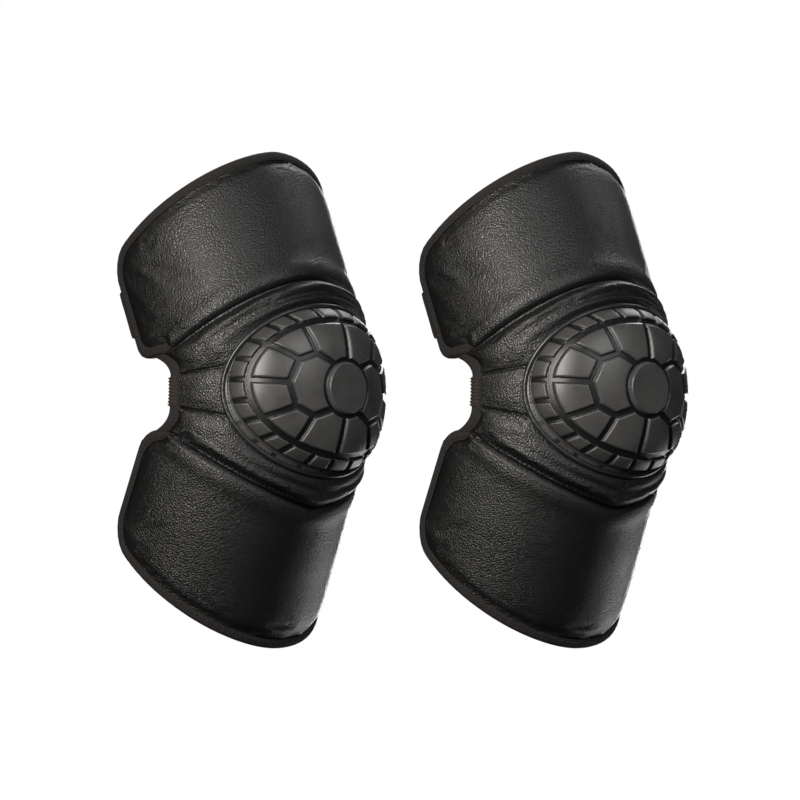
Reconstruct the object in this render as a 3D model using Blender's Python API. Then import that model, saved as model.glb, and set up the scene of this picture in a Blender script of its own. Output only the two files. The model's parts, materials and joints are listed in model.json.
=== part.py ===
"""A pair of motorcycle knee guards: soft leather half-sleeves with a hard domed cap.

Each guard wraps the front of a bent leg. Units are metres, +Z is up, and the guards face -Y.
The origin is the knee centre of the wearer's right guard; the left guard is a copy beside it, a
little higher.

Every soft piece is laid out on one surface, a bent tube around the leg:
  phi  angle around the leg in degrees, 0 at the front, positive towards +X
  s    distance along the leg's own axis from the knee centre, positive up the thigh
  off  distance out from the leather's outer face, negative towards the leg
"""
import math

import bpy
from mathutils import Vector

# ---------------------------------------------------------------- driving dimensions
GUARDS = {"right": (0.0, 0.0, 0.0), "left": (0.319, 0.0, 0.0155)}   # each guard's knee centre
LEG_LEAN = 24.0                             # final lean of the thigh and of the shin, degrees
BEND_LENGTH = 0.045                         # how quickly the leg bends either side of the knee
KNEE_HALF_WIDTH, KNEE_HALF_DEPTH = 0.090, 0.096
LEG_RADIUS = 0.0935                         # outer radius away from the knee
RADIUS_BLEND = 0.075                        # distance over which the knee section becomes round

LEATHER = (0.0, -0.0012)                    # outer and inner face of each layer
FOAM = (-0.0015, -0.0075)
LINING = (-0.0078, -0.0098)
GORE = (0.0006, -0.0006)                    # the gores' leather, over the knee pad
KNEE_LINING = (-0.0084, -0.0100)
BINDING = (0.0008, -0.0106)
BINDING_WIDTH = 0.007
FIT_GAP = 0.0003                            # between pieces that touch
PANEL_GAP = 0.0005                          # between a panel and its binding
PANEL_COLUMNS = 21                          # columns of facets round a panel

# Panels above (+1) and below (-1) the knee. Lengths are along the leg from the knee centre.
PANELS = {
    "thigh": dict(side=1, wrap=103.0, reach=0.1545, drop=0.0359, drop_power=1.46,
                  seam=0.0520, seam_drop=0.0319, seam_power=1.6,
                  notch_rise=0.0025, notch_corner=0.011, corner=0.020),
    "shin": dict(side=-1, wrap=98.5, reach=0.1695, drop=0.0398, drop_power=1.8,
                 seam=0.0595, seam_drop=0.0313, seam_power=1.2,
                 notch_rise=0.0040, notch_corner=0.016, corner=0.020),
}
NOTCH_START = 84.0                          # phi where the seams meet the side notch
NOTCH_TAPER = 4.5                           # degrees over which the binding reaches full width

KNEE_EDGE = 77.6                            # phi where the knee's own pieces end
NOTCH_EDGE = 82.5                           # phi of the notch's bound edge
NOTCH_BAND = (-0.0245, 0.0210)              # s range of the notch binding
GATHER_BAND = (-0.0105, 0.0105)             # s range of the elastic gather
DARTS = (0.0076, -0.0138)                   # s of the two darts at the notch

CAP_CENTRE = -0.002                         # s of the cap's centre
CAP_WRAP = 57.0                             # half width of the cap's rim, degrees
CAP_REACH = 0.0385                          # half height of the cap's rim, along s
CAP_HEIGHT = 0.019                          # dome above the leather
CAP_WALL = 0.003
CAP_GROOVE = 0.0017                         # depth of the groove inside the block row
CAP_RIM_SHARE = 0.55                        # height of the shell's edge, as a share of the dome there
CAP_BASE = 0.0012                           # underside of the shell's edge, above the leather
CAP_PAD_BASE = -0.0006
CAP_EDGE = 0.938                            # radius factors of the rim: shell edge,
CAP_PAD_EDGE = 0.895                        # pad edge,
GORE_START = 0.915                          # inner edge of the gores under the shell,
PIPING_LINE = 0.972                         # and centre line of the piping
PIPING_RADIUS = 0.0018
DISC_RADIUS = 0.0203
DISC_PLANE = -0.1150                        # y of the flat kneeling disc
DISC_STEP, DISC_SINK = 0.0008, 0.0016       # width and depth of the wall round the disc
DISC_GROOVE, DISC_GROOVE_SINK = 0.0036, 0.0022
GORE_PUFF, SIDE_GORE_PUFF = 0.0035, 0.0012  # how far the gores stand out at most
GORE_AIM = 0.74                             # where the gores' inner ends aim, as a share of KNEE_EDGE
FOAM_DRAW_IN = 0.0065                       # how far the knee pad stays back from the seams
GORE_PROFILE = ((0.0, 0.0), (0.20, 0.0), (0.55, 1.0), (0.80, 0.7), (1.0, 0.0))   # way out, share of puff

STRAPS = {"upper": dict(panel="thigh", centre=0.0715), "lower": dict(panel="shin", centre=-0.0680)}
STRAP_WIDTH = 0.040
STRAP_BACK = -0.032                         # depth of the strap's flat run behind the leg centre
STRAP_THICKNESS = 0.002
STRAP_TURN = 0.012                          # radius where it turns forward round the free edge
TAB_RANGE = {"upper": (80.0, 99.6), "lower": (76.0, 95.4)}
TAB_LAYERS = (0.0049, 0.0016)
PATCH_LAYERS = (0.0013, 0.0003)
ANCHOR_DEPTH = (-0.0131, -0.0115)           # strap anchor, against the lining's inner face

FLEX_PIVOTS = {"thigh": (-0.014, 0.031), "shin": (-0.014, -0.033)}   # y, z of the side hinges

MATERIALS = {                               # colour, roughness, metallic
    "leather": ((0.018, 0.018, 0.019), 0.42, 0.0),
    "sponge_foam": ((0.060, 0.060, 0.062), 0.95, 0.0),
    "lining": ((0.030, 0.030, 0.032), 0.95, 0.0),
    "binding_tape": ((0.026, 0.023, 0.022), 0.80, 0.0),
    "cap_shell": ((0.035, 0.035, 0.037), 0.38, 0.0),
    "piping": ((0.024, 0.024, 0.025), 0.35, 0.0),
    "elastic": ((0.030, 0.025, 0.022), 0.80, 0.0),
    "hook_tape": ((0.020, 0.020, 0.021), 0.75, 0.0),
    "loop_tape": ((0.024, 0.024, 0.025), 0.95, 0.0),
}


# ---------------------------------------------------------------- the leg surface
def lean_at(s):
    return math.radians(LEG_LEAN) * math.tanh(s / BEND_LENGTH)


def leg_axis(s, steps=24):
    """Point (y, z) of the leg's axis at s, by Simpson's rule along the bend."""
    h = s / steps
    y = z = 0.0
    for i in range(steps + 1):
        weight = 1 if i in (0, steps) else (4 if i % 2 else 2)
        y += weight * math.sin(lean_at(i * h))
        z += weight * math.cos(lean_at(i * h))
    return y * h / 3.0, z * h / 3.0


def section(s):
    """Half width and half depth of the outer leather at s."""
    blend = math.tanh(abs(s) / RADIUS_BLEND) ** 2
    half_width = KNEE_HALF_WIDTH + (LEG_RADIUS - KNEE_HALF_WIDTH) * blend
    half_depth = KNEE_HALF_DEPTH + (LEG_RADIUS - KNEE_HALF_DEPTH) * blend
    return half_width, half_depth


def local_point(x, forward, s):
    """Point given by x, distance forward of the leg axis and s."""
    y, z = leg_axis(s)
    lean = lean_at(s)
    return Vector((x, y - forward * math.cos(lean), z + forward * math.sin(lean)))


def surface_point(phi, s, off):
    half_width, half_depth = section(s)
    angle = math.radians(phi)
    return local_point((half_width + off) * math.sin(angle), (half_depth + off) * math.cos(angle), s)


def degrees_for(length):
    return math.degrees(length / LEG_RADIUS)


def rounding(distance, radius):
    """How far a rounded corner cuts in at a distance from the panel's side edge."""
    if distance >= radius:
        return 0.0
    return radius - math.sqrt(max(radius ** 2 - (radius - distance) ** 2, 0.0))


# ---------------------------------------------------------------- panel outlines
def panel_phi_end(panel, inset):
    return panel["wrap"] - degrees_for(inset)


def end_edge(panel, phi, inset):
    """Free end of a panel at phi, as s, moved in by inset."""
    reach = panel["reach"] - panel["drop"] * (abs(phi) / 90.0) ** panel["drop_power"] - inset
    to_side = math.radians(panel_phi_end(panel, inset) - abs(phi)) * LEG_RADIUS
    return panel["side"] * (reach - rounding(to_side, panel["corner"] - inset / 2))


def seam_edge(panel, phi):
    """Seam between a panel and the knee at phi, as s."""
    return panel["side"] * (panel["seam"] - panel["seam_drop"] * (abs(phi) / 90.0) ** panel["seam_power"])


def notch_taper(phi, inset):
    """Share of the inset used at phi: none along the seam, all of it along the notch."""
    along = (abs(phi) - (NOTCH_START - NOTCH_TAPER)) / NOTCH_TAPER
    return inset * min(max(along, 0.0), 1.0)


def inner_edge(panel, phi, inset):
    """Edge of a panel nearest the knee: the seam, then the notch, as s."""
    along_seam = abs(seam_edge(panel, min(abs(phi), NOTCH_START)))
    past_notch = max(abs(phi) - NOTCH_START, 0.0) / (panel["wrap"] - NOTCH_START)
    rise = panel["notch_rise"] * past_notch
    to_side = math.radians(panel_phi_end(panel, inset) - abs(phi)) * LEG_RADIUS
    corner = rounding(to_side, panel["notch_corner"]) if abs(phi) > NOTCH_START else 0.0
    gap = FIT_GAP / 2 + notch_taper(phi, inset)
    return panel["side"] * (along_seam + rise + corner + gap)


def spread(count, limit):
    """Values from -limit to limit, closer together near both ends."""
    values = [2.0 * i / (count - 1) - 1.0 for i in range(count)]
    return [limit * (0.55 * u + 0.45 * math.sin(u * math.pi / 2)) for u in values]


# ---------------------------------------------------------------- mesh builders
def new_object(name, mesh, material, parent):
    mesh.materials.append(material)
    obj = bpy.data.objects.new(name, mesh)
    bpy.context.collection.objects.link(obj)
    obj.parent = parent
    return obj


def smooth(mesh, angle=35.0):
    mesh.shade_smooth()
    mesh.set_sharp_from_angle(angle=math.radians(angle))


def solid_from_grids(name, front, back, material, parent, pivot):
    """Closed solid between two grids of points with the same rows and columns."""
    rows, cols = len(front), len(front[0])
    points = [p - pivot for row in front for p in row] + [p - pivot for row in back for p in row]
    base = rows * cols

    def at(layer, r, c):
        return layer * base + r * cols + c

    faces = []
    for r in range(rows - 1):
        for c in range(cols - 1):
            faces.append((at(0, r, c), at(0, r, c + 1), at(0, r + 1, c + 1), at(0, r + 1, c)))
            faces.append((at(1, r, c), at(1, r + 1, c), at(1, r + 1, c + 1), at(1, r, c + 1)))
    rim = [(0, c) for c in range(cols)] + [(r, cols - 1) for r in range(1, rows)]
    rim += [(rows - 1, c) for c in range(cols - 2, -1, -1)] + [(r, 0) for r in range(rows - 2, 0, -1)]
    for (r0, c0), (r1, c1) in zip(rim, rim[1:] + rim[:1]):
        faces.append((at(0, r0, c0), at(1, r0, c0), at(1, r1, c1), at(0, r1, c1)))
    return mesh_object(name, points, faces, material, parent)


def solid_from_rings(name, rings, material, parent, pivot):
    """Closed solid from loops of points in order; the first and last loops are closed by a face."""
    count = len(rings[0])
    points = [p - pivot for ring in rings for p in ring]
    faces = [tuple(range(count))]
    for r in range(len(rings) - 1):
        for c in range(count):
            d = (c + 1) % count
            faces.append((r * count + c, (r + 1) * count + c, (r + 1) * count + d, r * count + d))
    last = (len(rings) - 1) * count
    faces.append(tuple(last + c for c in reversed(range(count))))
    return mesh_object(name, points, faces, material, parent)


def mesh_object(name, points, faces, material, parent):
    mesh = bpy.data.meshes.new(name)
    mesh.from_pydata([tuple(p) for p in points], [], faces)
    mesh.validate()
    volume = sum(signed_volume([mesh.vertices[i].co for i in poly.vertices]) for poly in mesh.polygons)
    if volume < 0:
        mesh.flip_normals()
    smooth(mesh)
    return new_object(name, mesh, material, parent)


def signed_volume(corners):
    first = corners[0]
    return sum(first.dot(a.cross(b)) for a, b in zip(corners[1:], corners[2:])) / 6.0


def layer_solid(name, grid, layer, material, parent, pivot):
    """One layer of a sheet given as rows of (phi, s)."""
    front = [[surface_point(phi, s, layer[0]) for phi, s in row] for row in grid]
    back = [[surface_point(phi, s, layer[1]) for phi, s in row] for row in grid]
    return solid_from_grids(name, front, back, material, parent, pivot)


def make_material(name, colour, roughness, metallic):
    material = bpy.data.materials.new(name)
    material.use_nodes = True
    shader = material.node_tree.nodes["Principled BSDF"]
    shader.inputs["Base Color"].default_value = (*colour, 1.0)
    shader.inputs["Roughness"].default_value = roughness
    shader.inputs["Metallic"].default_value = metallic
    material.diffuse_color = (*colour, 1.0)
    return material


def make_empty(name, location, parent=None):
    empty = bpy.data.objects.new(name, None)
    bpy.context.collection.objects.link(empty)
    empty.parent = parent
    empty.location = location
    return empty


# ---------------------------------------------------------------- thigh and shin panels
def panel_grid(panel, rows=4):
    inset = BINDING_WIDTH + PANEL_GAP
    phis = spread(PANEL_COLUMNS, panel_phi_end(panel, inset))
    grid = []
    for r in range(rows):
        share = r / (rows - 1)
        grid.append([(phi, inner_edge(panel, phi, inset) * (1 - share) + end_edge(panel, phi, inset) * share)
                     for phi in phis])
    return grid


def panel_outline(panel, inset):
    """Bound edge of a panel from one notch corner, over the free end, to the other.

    Its points lie beside those of panel_grid, so the binding follows the panel facet by facet.
    """
    start = NOTCH_START - NOTCH_TAPER
    phi_end = panel_phi_end(panel, inset)
    grid_end = panel_phi_end(panel, BINDING_WIDTH)
    notch = [start] + [phi for phi in spread(PANEL_COLUMNS, grid_end) if phi > start]
    notch = [start + (phi - start) * (phi_end - start) / (grid_end - start) for phi in notch]
    side = [(phi, inner_edge(panel, phi, inset)) for phi in notch]
    over = [(phi, end_edge(panel, phi, inset)) for phi in reversed(spread(PANEL_COLUMNS, phi_end))]
    return side + over + [(-phi, s) for phi, s in reversed(side)]


def build_binding(guard, name, panel, material, parent, pivot):
    outer = panel_outline(panel, 0.0)
    inner = panel_outline(panel, BINDING_WIDTH)
    side = panel["side"]
    step = 0.001 * side
    inner[0] = (inner[0][0], inner[0][1] + step)
    inner[-1] = (inner[-1][0], inner[-1][1] + step)
    layer_solid(f"{guard}_{name}_binding", [outer, inner], BINDING, material, parent, pivot)


def build_panel(guard, name, materials, parent, pivot):
    panel = PANELS[name]
    grid = panel_grid(panel)
    layer_solid(f"{guard}_{name}_leather", grid, LEATHER, materials["leather"], parent, pivot)
    layer_solid(f"{guard}_{name}_foam", grid, FOAM, materials["sponge_foam"], parent, pivot)
    layer_solid(f"{guard}_{name}_lining", grid, LINING, materials["lining"], parent, pivot)
    build_binding(guard, name, panel, materials["binding_tape"], parent, pivot)


# ---------------------------------------------------------------- knee zone
def knee_edges(phi, clearance=0.0):
    """s of the lower and upper seams at phi; clearance draws both in at the front."""
    draw_in = FIT_GAP + clearance * math.cos(math.radians(phi))
    return seam_edge(PANELS["shin"], phi) + draw_in, seam_edge(PANELS["thigh"], phi) - draw_in


def knee_grid(clearance, columns=15, rows=6):
    phis = [KNEE_EDGE * (2.0 * i / (columns - 1) - 1.0) for i in range(columns)]
    grid = []
    for r in range(rows):
        row = []
        for phi in phis:
            low, high = knee_edges(phi, clearance)
            row.append((phi, low + (high - low) * r / (rows - 1)))
        grid.append(row)
    return grid


def rim_point(angle, factor=1.0):
    """Point (phi, s) on the cap's rim ellipse, at an angle in degrees from +X."""
    a = math.radians(angle)
    return CAP_WRAP * factor * math.cos(a), CAP_CENTRE + CAP_REACH * factor * math.sin(a)


def rim_angle(s, phi):
    """Rim angle of the direction from the cap's centre to (phi, s)."""
    return math.degrees(math.atan2((s - CAP_CENTRE) / CAP_REACH, phi / CAP_WRAP))


def gore_outer(name, dart_gap):
    """Outer boundary of a gore from its +X end to its -X end, as (phi, s)."""
    side = 1 if name == "upper" else -1
    dart = DARTS[0] + dart_gap if side > 0 else DARTS[1] - dart_gap
    edge = knee_edges(KNEE_EDGE)[1 if side > 0 else 0]
    seam_phis = [KNEE_EDGE * (1.0 - i / 7.0) for i in range(8)]
    half = [(KNEE_EDGE, dart), (KNEE_EDGE, (dart + edge) / 2)]
    half += [(phi, knee_edges(phi)[1 if side > 0 else 0]) for phi in seam_phis]
    return half + [(-phi, s) for phi, s in reversed(half[:-1])]


def loft_gore(node, outer, inner, material, parent, pivot, puff):
    """Leather between two boundary curves: flat under the cap's edge, then standing out."""
    grids = []
    for depth in GORE:
        grid = []
        for share, rise in GORE_PROFILE:
            off = depth + rise * puff
            grid.append([surface_point(p0 + (p1 - p0) * share, s0 + (s1 - s0) * share, off)
                         for (p0, s0), (p1, s1) in zip(inner, outer)])
        grids.append(grid)
    solid_from_grids(node, grids[0], grids[1], material, parent, pivot)


def build_gores(guard, materials, parent, pivot):
    dart_gap = FIT_GAP / 2
    for name in ("upper", "lower"):
        outer = gore_outer(name, dart_gap)
        start = rim_angle(outer[0][1], KNEE_EDGE * GORE_AIM)
        stop = (180.0 if name == "upper" else -180.0) - start
        count = len(outer) - 1
        inner = [rim_point(start + (stop - start) * i / count, GORE_START) for i in range(count + 1)]
        loft_gore(f"{guard}_{name}_gore", outer, inner, materials["leather"], parent, pivot, GORE_PUFF)
    for label, side in (("hook_side", 1), ("sewn_side", -1)):
        low, high = DARTS[1] + dart_gap, DARTS[0] - dart_gap
        count = 3
        outer = [(side * KNEE_EDGE, low + (high - low) * i / count) for i in range(count + 1)]
        first = rim_angle(low, KNEE_EDGE * GORE_AIM)
        last = rim_angle(high, KNEE_EDGE * GORE_AIM)
        rim = [rim_point(first + (last - first) * i / count, GORE_START) for i in range(count + 1)]
        inner = [(side * phi, s) for phi, s in rim]
        loft_gore(f"{guard}_{label}_gore", outer, inner, materials["leather"], parent, pivot, SIDE_GORE_PUFF)


def build_notch(guard, label, side, materials, parent, pivot):
    """Bound edge of the side notch and the elastic gather around its middle."""
    low, high = NOTCH_BAND
    rows = 7
    band = [[(side * (KNEE_EDGE + 0.3), low + (high - low) * r / (rows - 1)),
             (side * NOTCH_EDGE, low + (high - low) * r / (rows - 1))] for r in range(rows)]
    layer_solid(f"{guard}_{label}_notch_binding", band, BINDING, materials["binding_tape"], parent, pivot)

    wall, gap = 0.0008, FIT_GAP
    top, bottom = BINDING[0] + gap, BINDING[1] - gap
    edge = NOTCH_EDGE + degrees_for(gap)
    start = KNEE_EDGE + 0.6
    outer = [(start, top + wall), (edge + degrees_for(wall), top + wall),
             (edge + degrees_for(wall), bottom - wall), (start, bottom - wall)]
    inner = [(start, top), (edge, top), (edge, bottom), (start, bottom)]
    low, high = GATHER_BAND
    levels = [low + (high - low) * r / 3 for r in range(4)]
    front = [[surface_point(side * phi, s, off) for phi, off in outer] for s in levels]
    back = [[surface_point(side * phi, s, off) for phi, off in inner] for s in levels]
    solid_from_grids(f"{guard}_{label}_gather", front, back, materials["elastic"], parent, pivot)


def dome_height(factor):
    return CAP_HEIGHT * (1.0 - min(factor, 1.0) ** 4) ** 0.8


def cap_ring(factor, height, count):
    """Loop of points around the cap at a share of its rim."""
    points = []
    for i in range(count):
        phi, s = rim_point(360.0 * i / count, factor)
        points.append(surface_point(phi, s, height))
    return points


def disc_ring(radius, y, count):
    """Flat loop facing -Y, matching the points of a cap ring."""
    points = []
    for i in range(count):
        a = 2 * math.pi * i / count
        points.append(Vector((radius * math.cos(a), y, CAP_CENTRE + radius * math.sin(a))))
    return points


def build_cap(guard, materials, parent, pivot, count=32):
    """Domed shell with a flat disc, a groove round the disc and a groove inside the block row."""
    edge = dome_height(CAP_EDGE) * CAP_RIM_SHARE
    outer = [disc_ring(DISC_RADIUS, DISC_PLANE, count),
             disc_ring(DISC_RADIUS + DISC_STEP, DISC_PLANE + DISC_SINK, count),
             disc_ring(DISC_RADIUS + DISC_GROOVE, DISC_PLANE + DISC_GROOVE_SINK, count)]
    for factor, sink in ((0.48, 0.0), (0.66, 0.0), (0.755, 0.0), (0.77, CAP_GROOVE), (0.80, CAP_GROOVE),
                         (0.815, 0.0), (0.90, 0.0006)):
        outer.append(cap_ring(factor, dome_height(factor) - sink, count))
    outer.append(cap_ring(CAP_EDGE, edge, count))
    inner = [cap_ring(CAP_EDGE, CAP_BASE, count)]
    for factor in (0.90, 0.78, 0.58, 0.34, 0.12):
        inner.append(cap_ring(factor, dome_height(factor) - CAP_GROOVE - CAP_WALL, count))
    solid_from_rings(f"{guard}_knee_cap", outer + inner, materials["cap_shell"], parent, pivot)


def build_cap_pad(guard, materials, parent, pivot, count=32):
    under = CAP_GROOVE + CAP_WALL + 3 * FIT_GAP
    rings = []
    for factor in (0.12, 0.34, 0.58, 0.77, CAP_PAD_EDGE):
        rings.append(cap_ring(factor, dome_height(factor) - under, count))
    for factor in (CAP_PAD_EDGE, 0.70, 0.50, 0.30, 0.12):
        rings.append(cap_ring(factor, CAP_PAD_BASE, count))
    solid_from_rings(f"{guard}_cap_pad", rings, materials["sponge_foam"], parent, pivot)


def build_piping(guard, materials, parent, pivot, count=36):
    curve = bpy.data.curves.new(f"{guard}_cap_piping", "CURVE")
    curve.dimensions = "3D"
    curve.bevel_depth = PIPING_RADIUS
    curve.bevel_resolution = 1
    spline = curve.splines.new("POLY")
    spline.points.add(count - 1)
    spline.use_cyclic_u = True
    height = PIPING_RADIUS + CAP_BASE
    for point, place in zip(spline.points, cap_ring(PIPING_LINE, height, count)):
        point.co = (*(place - pivot), 1.0)
    new_object(f"{guard}_cap_piping", curve, materials["piping"], parent)


def build_knee(guard, materials, parent, pivot):
    # The pad under the knee stays clear of the panels as they flex; the lining does not need to.
    layer_solid(f"{guard}_knee_foam", knee_grid(FOAM_DRAW_IN), FOAM, materials["sponge_foam"], parent, pivot)
    layer_solid(f"{guard}_knee_lining", knee_grid(0.0), KNEE_LINING, materials["lining"], parent, pivot)
    build_gores(guard, materials, parent, pivot)
    build_notch(guard, "hook_side", 1, materials, parent, pivot)
    build_notch(guard, "sewn_side", -1, materials, parent, pivot)
    build_cap(guard, materials, parent, pivot)
    build_cap_pad(guard, materials, parent, pivot)
    build_piping(guard, materials, parent, pivot)


# ---------------------------------------------------------------- straps
def strap_levels(strap, rows=3, width=STRAP_WIDTH):
    return [strap["centre"] + width * (r / (rows - 1) - 0.5) for r in range(rows)]


def strap_corner(strap):
    """Centre (x, forward) of the strap's turn round the free edge, and the sewn end's hinge."""
    half_width, _ = section(strap["centre"])
    wrap = math.radians(PANELS[strap["panel"]]["wrap"])
    turn_x = (half_width + 0.0039) * math.sin(wrap) - STRAP_TURN
    hinge_x = -half_width * math.sin(wrap) + 0.0005
    return turn_x, STRAP_BACK + STRAP_TURN, hinge_x


def strap_path(strap):
    """Middle line of the strap as (x, forward, outward x, outward forward)."""
    turn_x, turn_forward, hinge_x = strap_corner(strap)
    start = hinge_x + 0.0012
    runs = 4
    path = [(start + (turn_x - start) * i / runs, STRAP_BACK, 0.0, -1.0) for i in range(runs)]
    reach = 74.0
    for i in range(7):
        a = math.radians(-90.0 + reach * i / 6)
        path.append((turn_x + STRAP_TURN * math.cos(a), turn_forward + STRAP_TURN * math.sin(a),
                     math.cos(a), math.sin(a)))
    return path


def band_solid(name, path, levels, half, material, parent, pivot):
    """Band of even thickness along a path given as (x, forward, outward x, outward forward)."""
    grids = []
    for side in (half, -half):
        grids.append([[local_point(x + side * ox, forward + side * of, s) for x, forward, ox, of in path]
                      for s in levels])
    return solid_from_grids(name, grids[0], grids[1], material, parent, pivot)


def surface_patch(name, phis, levels, layer, material, parent, pivot):
    grid = [[(phi, s) for phi in phis] for s in levels]
    return layer_solid(name, grid, layer, material, parent, pivot)


def strap_pivots(strap_name):
    """Places of the sewn-end hinge and of the tab's peel line."""
    strap = STRAPS[strap_name]
    _, _, hinge_x = strap_corner(strap)
    swing = local_point(hinge_x, STRAP_BACK, strap["centre"])
    peel = surface_point(TAB_RANGE[strap_name][1] + degrees_for(0.0005), strap["centre"], 0.0039)
    return swing, peel


def build_anchor(guard, name, strap, materials, parent, pivot):
    """Fixed end of the strap: sewn to the lining, then out past the bound edge."""
    half_width, half_depth = section(strap["centre"])
    wrap = PANELS[strap["panel"]]["wrap"]
    path = []
    depth = sum(ANCHOR_DEPTH) / 2
    for phi in (wrap - 20.0, wrap - 13.0, wrap - 6.0, wrap + 1.0):
        a = math.radians(-phi)
        path.append(((half_width + depth) * math.sin(a), (half_depth + depth) * math.cos(a),
                     -math.sin(a), -math.cos(a)))
    _, _, hinge_x = strap_corner(strap)
    path.append((hinge_x + 0.0030, STRAP_BACK + 0.0040, 0.6, -0.8))
    half = abs(ANCHOR_DEPTH[0] - ANCHOR_DEPTH[1]) / 2
    band_solid(f"{guard}_{name}_strap_anchor", path, strap_levels(strap), half,
               materials["elastic"], parent, pivot)


def build_strap(guard, name, materials, panel_empty, panel_pivot):
    strap = STRAPS[name]
    swing, peel = strap_pivots(name)
    build_anchor(guard, name, strap, materials, panel_empty, panel_pivot)
    first, last = TAB_RANGE[name]
    phis = [first - 1.5 + (last - first - 3.5) * i / 4 for i in range(5)]
    surface_patch(f"{guard}_{name}_loop_patch", phis, strap_levels(strap), PATCH_LAYERS,
                  materials["loop_tape"], panel_empty, panel_pivot)

    strap_empty = make_empty(f"{guard}_{name}_strap_hinge", swing - panel_pivot, panel_empty)
    band_solid(f"{guard}_{name}_strap", strap_path(strap), strap_levels(strap), STRAP_THICKNESS / 2,
               materials["elastic"], strap_empty, swing)

    tab_empty = make_empty(f"{guard}_{name}_tab_hinge", peel - swing, strap_empty)
    phis = [first + (last - first) * i / 4 for i in range(5)]
    surface_patch(f"{guard}_{name}_hook_tab", phis, strap_levels(strap), TAB_LAYERS,
                  materials["hook_tape"], tab_empty, peel)


# ---------------------------------------------------------------- assembly
def build_guard(guard, centre, materials):
    guard_empty = make_empty(f"{guard}_guard", centre)
    build_knee(guard, materials, guard_empty, Vector((0.0, 0.0, 0.0)))
    for panel_name, strap_name in (("thigh", "upper"), ("shin", "lower")):
        pivot = Vector((0.0, *FLEX_PIVOTS[panel_name]))
        flex_empty = make_empty(f"{guard}_{panel_name}_flex", pivot, guard_empty)
        build_panel(guard, panel_name, materials, flex_empty, pivot)
        build_strap(guard, strap_name, materials, flex_empty, pivot)


def main():
    for obj in list(bpy.data.objects):
        bpy.data.objects.remove(obj, do_unlink=True)
    materials = {name: make_material(name, *look) for name, look in MATERIALS.items()}
    for guard, centre in GUARDS.items():
        build_guard(guard, centre, materials)


main()
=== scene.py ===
"""Looks for the pair of padded leather knee guards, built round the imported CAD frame.

Every soft piece is laid out on one surface, a bent tube round the leg:
  phi  angle round the leg in degrees, 0 at the front, positive towards +X
  s    distance along the leg's own axis from the knee centre, positive up the thigh
  off  distance out from the leather's outer face, negative towards the leg
"""
import json
import math

import bpy
import numpy as np
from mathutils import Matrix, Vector

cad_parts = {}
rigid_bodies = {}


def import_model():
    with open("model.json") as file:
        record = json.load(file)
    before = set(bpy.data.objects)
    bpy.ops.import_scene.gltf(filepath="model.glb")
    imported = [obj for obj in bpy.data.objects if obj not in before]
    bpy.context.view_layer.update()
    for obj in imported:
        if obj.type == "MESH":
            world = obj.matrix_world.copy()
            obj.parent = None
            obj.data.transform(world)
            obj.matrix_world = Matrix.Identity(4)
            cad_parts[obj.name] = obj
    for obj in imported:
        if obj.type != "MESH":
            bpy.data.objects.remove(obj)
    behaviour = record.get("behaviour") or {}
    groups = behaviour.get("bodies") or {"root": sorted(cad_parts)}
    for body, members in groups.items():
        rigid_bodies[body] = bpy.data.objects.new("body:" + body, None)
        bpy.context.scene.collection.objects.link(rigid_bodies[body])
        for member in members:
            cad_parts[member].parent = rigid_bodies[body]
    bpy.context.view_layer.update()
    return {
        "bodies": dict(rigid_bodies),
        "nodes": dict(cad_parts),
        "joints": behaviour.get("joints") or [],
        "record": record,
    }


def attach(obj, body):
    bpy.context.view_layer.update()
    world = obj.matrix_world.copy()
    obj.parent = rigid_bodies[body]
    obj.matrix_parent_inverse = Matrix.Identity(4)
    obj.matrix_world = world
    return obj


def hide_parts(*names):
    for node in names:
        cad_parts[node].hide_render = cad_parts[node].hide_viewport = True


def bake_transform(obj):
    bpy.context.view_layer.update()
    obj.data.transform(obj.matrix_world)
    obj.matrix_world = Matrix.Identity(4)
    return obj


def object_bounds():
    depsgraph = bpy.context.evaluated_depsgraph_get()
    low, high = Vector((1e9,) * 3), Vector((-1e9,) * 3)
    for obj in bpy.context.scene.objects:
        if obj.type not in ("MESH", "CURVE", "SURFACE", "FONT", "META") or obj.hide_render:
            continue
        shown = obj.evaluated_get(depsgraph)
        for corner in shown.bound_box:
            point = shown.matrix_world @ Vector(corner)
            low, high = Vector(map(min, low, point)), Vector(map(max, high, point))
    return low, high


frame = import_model()

# ---- dimensions shared with the CAD, metres
GUARDS = {"right": (0.0, 0.0, 0.0), "left": (0.319, 0.0, 0.0155)}      # knee centres
LEG_LEAN = math.radians(24.0)
BEND_LENGTH = 0.045
KNEE_HALF_WIDTH, KNEE_HALF_DEPTH = 0.090, 0.096
LEG_RADIUS = 0.0935
RADIUS_BLEND = 0.075

PANELS = {
    "thigh": dict(side=1, wrap=103.0, reach=0.1545, drop=0.0359, drop_power=1.46,
                  seam=0.0520, seam_drop=0.0319, seam_power=1.6,
                  notch_rise=0.0025, notch_corner=0.011, corner=0.020, strap="upper"),
    "shin": dict(side=-1, wrap=98.5, reach=0.1695, drop=0.0398, drop_power=1.8,
                 seam=0.0595, seam_drop=0.0313, seam_power=1.2,
                 notch_rise=0.0040, notch_corner=0.016, corner=0.020, strap="lower"),
}
BINDING_WIDTH = 0.0075
BINDING_TOP, BINDING_BOTTOM = 0.0008, -0.0104
NOTCH_START, NOTCH_TAPER = 84.0, 4.5
KNEE_EDGE, NOTCH_EDGE = 77.6, 83.6
NOTCH_BAND = (-0.0325, 0.0238)
NOTCH_MIDDLE, NOTCH_FLARE = -0.0043, {1: 8.5, -1: 6.0}
GATHER_BAND = (-0.0140, 0.0070)
DARTS = (0.0076, -0.0138)
DART_ANGLES = {1: 20.0, -1: -24.0}           # where the upper and lower darts meet the cap's rim

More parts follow.
